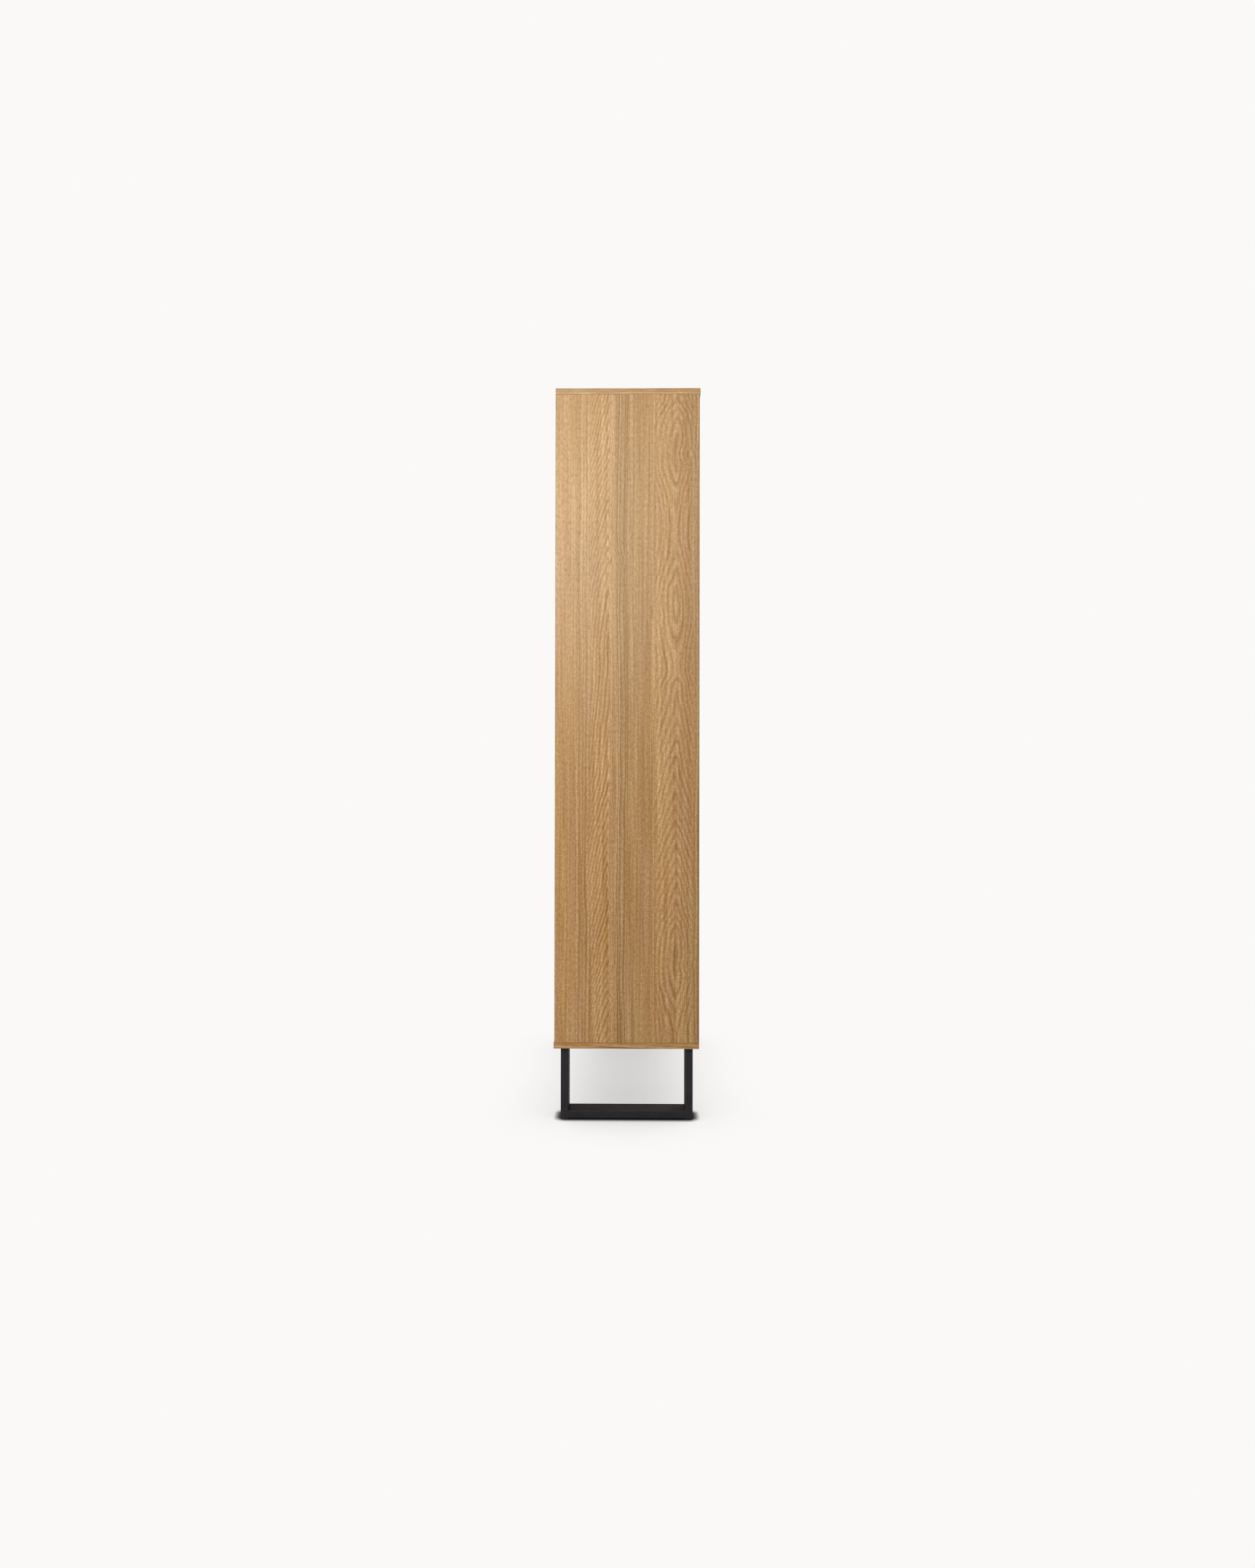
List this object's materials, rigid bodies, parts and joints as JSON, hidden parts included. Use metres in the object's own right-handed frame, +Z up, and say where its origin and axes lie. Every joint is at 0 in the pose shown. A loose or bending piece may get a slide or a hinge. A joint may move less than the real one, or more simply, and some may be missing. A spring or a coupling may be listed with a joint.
{
  "type": "pantry cabinet",
  "caption": "Tall oak-look pantry cabinet with inset doors over shelves, on black steel sled leg frames.",
  "frame": {"origin": "on the floor, under the middle of the cabinet", "axes": "+X to the cabinet's right-hand side panel, which the picture shows; -Y to the front, where the doors open; +Z up"},
  "size_m": [0.9, 0.398, 2],
  "materials": {
    "oak_foil": "satin oak-look foil on particle board",
    "hardboard": "oak-look print inside, raw hardboard behind",
    "black_steel": "fine-textured satin black powder coat",
    "black_pull": "satin black powder coat",
    "zinc_steel": "bright zinc plate",
    "beech": "raw",
    "white_nylon": "moulded",
    "black_plastic": "moulded",
    "tan_plastic": "moulded",
    "magnet": "sintered ferrite between steel poles"
  },
  "bodies": {
    "carcass": {"bottom_board": "oak_foil", "cam_bolts": "zinc_steel", "cam_covers": "tan_plastic", "cam_locks": "zinc_steel", "catch_magnets": "magnet", "catch_screws": "zinc_steel", "dowels": "beech", "floor_glides": "black_plastic", "left_leg_floor_bar": "black_steel", "left_leg_front_post": "black_steel", "left_leg_mounting_plates": "black_steel", "left_leg_rear_post": "black_steel", "left_side_panel": "oak_foil", "leg_screws": "zinc_steel", "lower_back_panel": "hardboard", "lower_catch_housing": "black_plastic", "lower_loose_shelf": "oak_foil", "middle_fixed_shelf": "oak_foil", "pivot_bushes": "white_nylon", "right_leg_floor_bar": "black_steel", "right_leg_front_post": "black_steel", "right_leg_mounting_plates": "black_steel", "right_leg_rear_post": "black_steel", "right_side_panel": "oak_foil", "shelf_supports": "zinc_steel", "top_board": "oak_foil", "upper_back_panel": "hardboard", "upper_catch_housing": "black_plastic", "upper_loose_shelf_high": "oak_foil", "upper_loose_shelf_low": "oak_foil", "wall_bracket_screws": "zinc_steel", "wall_brackets": "zinc_steel"},
    "upper_left_leaf": {"upper_left_door": "oak_foil", "upper_left_door_flush_pull": "black_pull", "upper_left_door_pivot_plates": "zinc_steel", "upper_left_door_screws": "zinc_steel", "upper_left_door_strike_plate": "zinc_steel"},
    "upper_right_leaf": {"upper_right_door": "oak_foil", "upper_right_door_flush_pull": "black_pull", "upper_right_door_pivot_plates": "zinc_steel", "upper_right_door_screws": "zinc_steel", "upper_right_door_strike_plate": "zinc_steel"},
    "lower_left_leaf": {"lower_left_door": "oak_foil", "lower_left_door_flush_pull": "black_pull", "lower_left_door_pivot_plates": "zinc_steel", "lower_left_door_screws": "zinc_steel", "lower_left_door_strike_plate": "zinc_steel"},
    "lower_right_leaf": {"lower_right_door": "oak_foil", "lower_right_door_flush_pull": "black_pull", "lower_right_door_pivot_plates": "zinc_steel", "lower_right_door_screws": "zinc_steel", "lower_right_door_strike_plate": "zinc_steel"}
  },
  "joints": [
    {"name": "upper_left_door_hinge", "type": "hinge", "parent": "carcass", "child": "upper_left_leaf", "pos_m": [-0.417, -0.189, 1.458], "axis": [0, 0, -1], "range_deg": [0, 110]},
    {"name": "upper_right_door_hinge", "type": "hinge", "parent": "carcass", "child": "upper_right_leaf", "pos_m": [0.417, -0.189, 1.458], "axis": [0, 0, 1], "range_deg": [0, 110]},
    {"name": "lower_left_door_hinge", "type": "hinge", "parent": "carcass", "child": "lower_left_leaf", "pos_m": [-0.417, -0.189, 0.565], "axis": [0, 0, -1], "range_deg": [0, 110]},
    {"name": "lower_right_door_hinge", "type": "hinge", "parent": "carcass", "child": "lower_right_leaf", "pos_m": [0.417, -0.189, 0.565], "axis": [0, 0, 1], "range_deg": [0, 110]}
  ]
}
